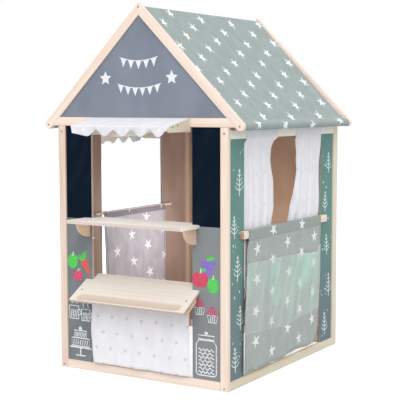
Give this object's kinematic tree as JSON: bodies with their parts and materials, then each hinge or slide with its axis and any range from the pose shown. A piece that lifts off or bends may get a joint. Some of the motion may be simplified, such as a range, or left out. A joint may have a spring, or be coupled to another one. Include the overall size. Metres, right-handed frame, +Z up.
{
  "type": "play shop and puppet theatre",
  "caption": "Small wooden play house with a gabled cloth roof, a shop counter under an awning at the front and a curtained puppet theatre window with a pocketed door cloth at the side.",
  "frame": {"origin": "middle of the front bottom rail's underside, on the floor", "axes": "+Z up, +Y from the shop front to the back wall, +X to the right seen from the front"},
  "size_m": [0.9507, 1.0487, 1.3809],
  "materials": {
    "pine": "sanded, clear",
    "birch": "sanded, clear",
    "blackboard": "matt blackboard paint above, grey below",
    "grey_panel": "matt paint",
    "teal_panel": "matt paint outside, raw brown inside",
    "brown_board": "raw fibreboard",
    "roof_cloth": "woven, star print",
    "white_cloth": "woven, faint star print",
    "grey_cloth": "woven, star print",
    "organza": "sheer"
  },
  "bodies": {
    "house": {"front_post_left": "pine", "front_post_right": "pine", "back_post_left": "pine", "back_post_right": "pine", "front_bottom_rail": "pine", "back_bottom_rail": "pine", "left_bottom_rail": "pine", "right_bottom_rail": "pine", "left_top_rail": "pine", "right_top_rail": "pine", "front_tie_beam": "pine", "back_tie_beam": "pine", "front_rafter_left": "pine", "front_rafter_right": "pine", "back_rafter_left": "pine", "back_rafter_right": "pine", "ridge_bar": "pine", "left_eave_bar": "pine", "right_eave_bar": "pine", "front_awning_arm_left": "pine", "front_awning_arm_right": "pine", "front_awning_slat": "pine", "left_awning_arm_front": "pine", "left_awning_arm_back": "pine", "left_awning_slat": "pine", "lower_shelf_rail": "pine", "front_cloth_rod": "pine", "front_rod_holder_left": "pine", "front_rod_holder_right": "pine", "door_bar": "pine", "left_bar": "pine", "upper_shelf": "birch", "upper_bracket_left": "birch", "upper_bracket_right": "birch", "lower_shelf": "birch", "lower_shelf_cheek_left": "birch", "lower_shelf_cheek_right": "birch", "front_panel_left": "blackboard", "front_panel_right": "blackboard", "front_gable_panel": "grey_panel", "back_gable_panel": "grey_panel", "left_panel_front": "teal_panel", "left_panel_back": "teal_panel", "right_panel_front": "teal_panel", "right_panel_back": "teal_panel", "back_wall_panel": "brown_board", "roof_cover": "roof_cloth", "front_awning_cloth": "white_cloth", "left_awning_cloth": "white_cloth", "door_cloth_sleeve": "grey_cloth"},
    "door_cloth": {"door_cloth": "grey_cloth", "door_pocket": "organza"},
    "left_cloth": {"left_cloth": "grey_cloth"},
    "front_cloth": {"front_cloth": "white_cloth"},
    "curtain_front": {"curtain_front": "white_cloth"},
    "curtain_back": {"curtain_back": "white_cloth"}
  },
  "joints": [
    {"name": "door_cloth_swing", "type": "hinge", "parent": "house", "child": "door_cloth", "pos_m": [0.3828, 0.425, 0.5324], "axis": [0, -1, 0], "range_deg": [0, 75]},
    {"name": "left_cloth_swing", "type": "hinge", "parent": "house", "child": "left_cloth", "pos_m": [-0.3507, 0.459, 0.577], "axis": [0, -1, 0], "range_deg": [0, 70]},
    {"name": "front_cloth_swing", "type": "hinge", "parent": "house", "child": "front_cloth", "pos_m": [0, -0.011, 0.32424], "axis": [-1, 0, 0], "range_deg": [0, 50]},
    {"name": "curtain_front_slide", "type": "slide", "parent": "house", "child": "curtain_front", "axis": [0, 1, 0], "range_m": [0, 0.055]},
    {"name": "curtain_back_slide", "type": "slide", "parent": "house", "child": "curtain_back", "axis": [0, -1, 0], "range_m": [0, 0.055]}
  ]
}
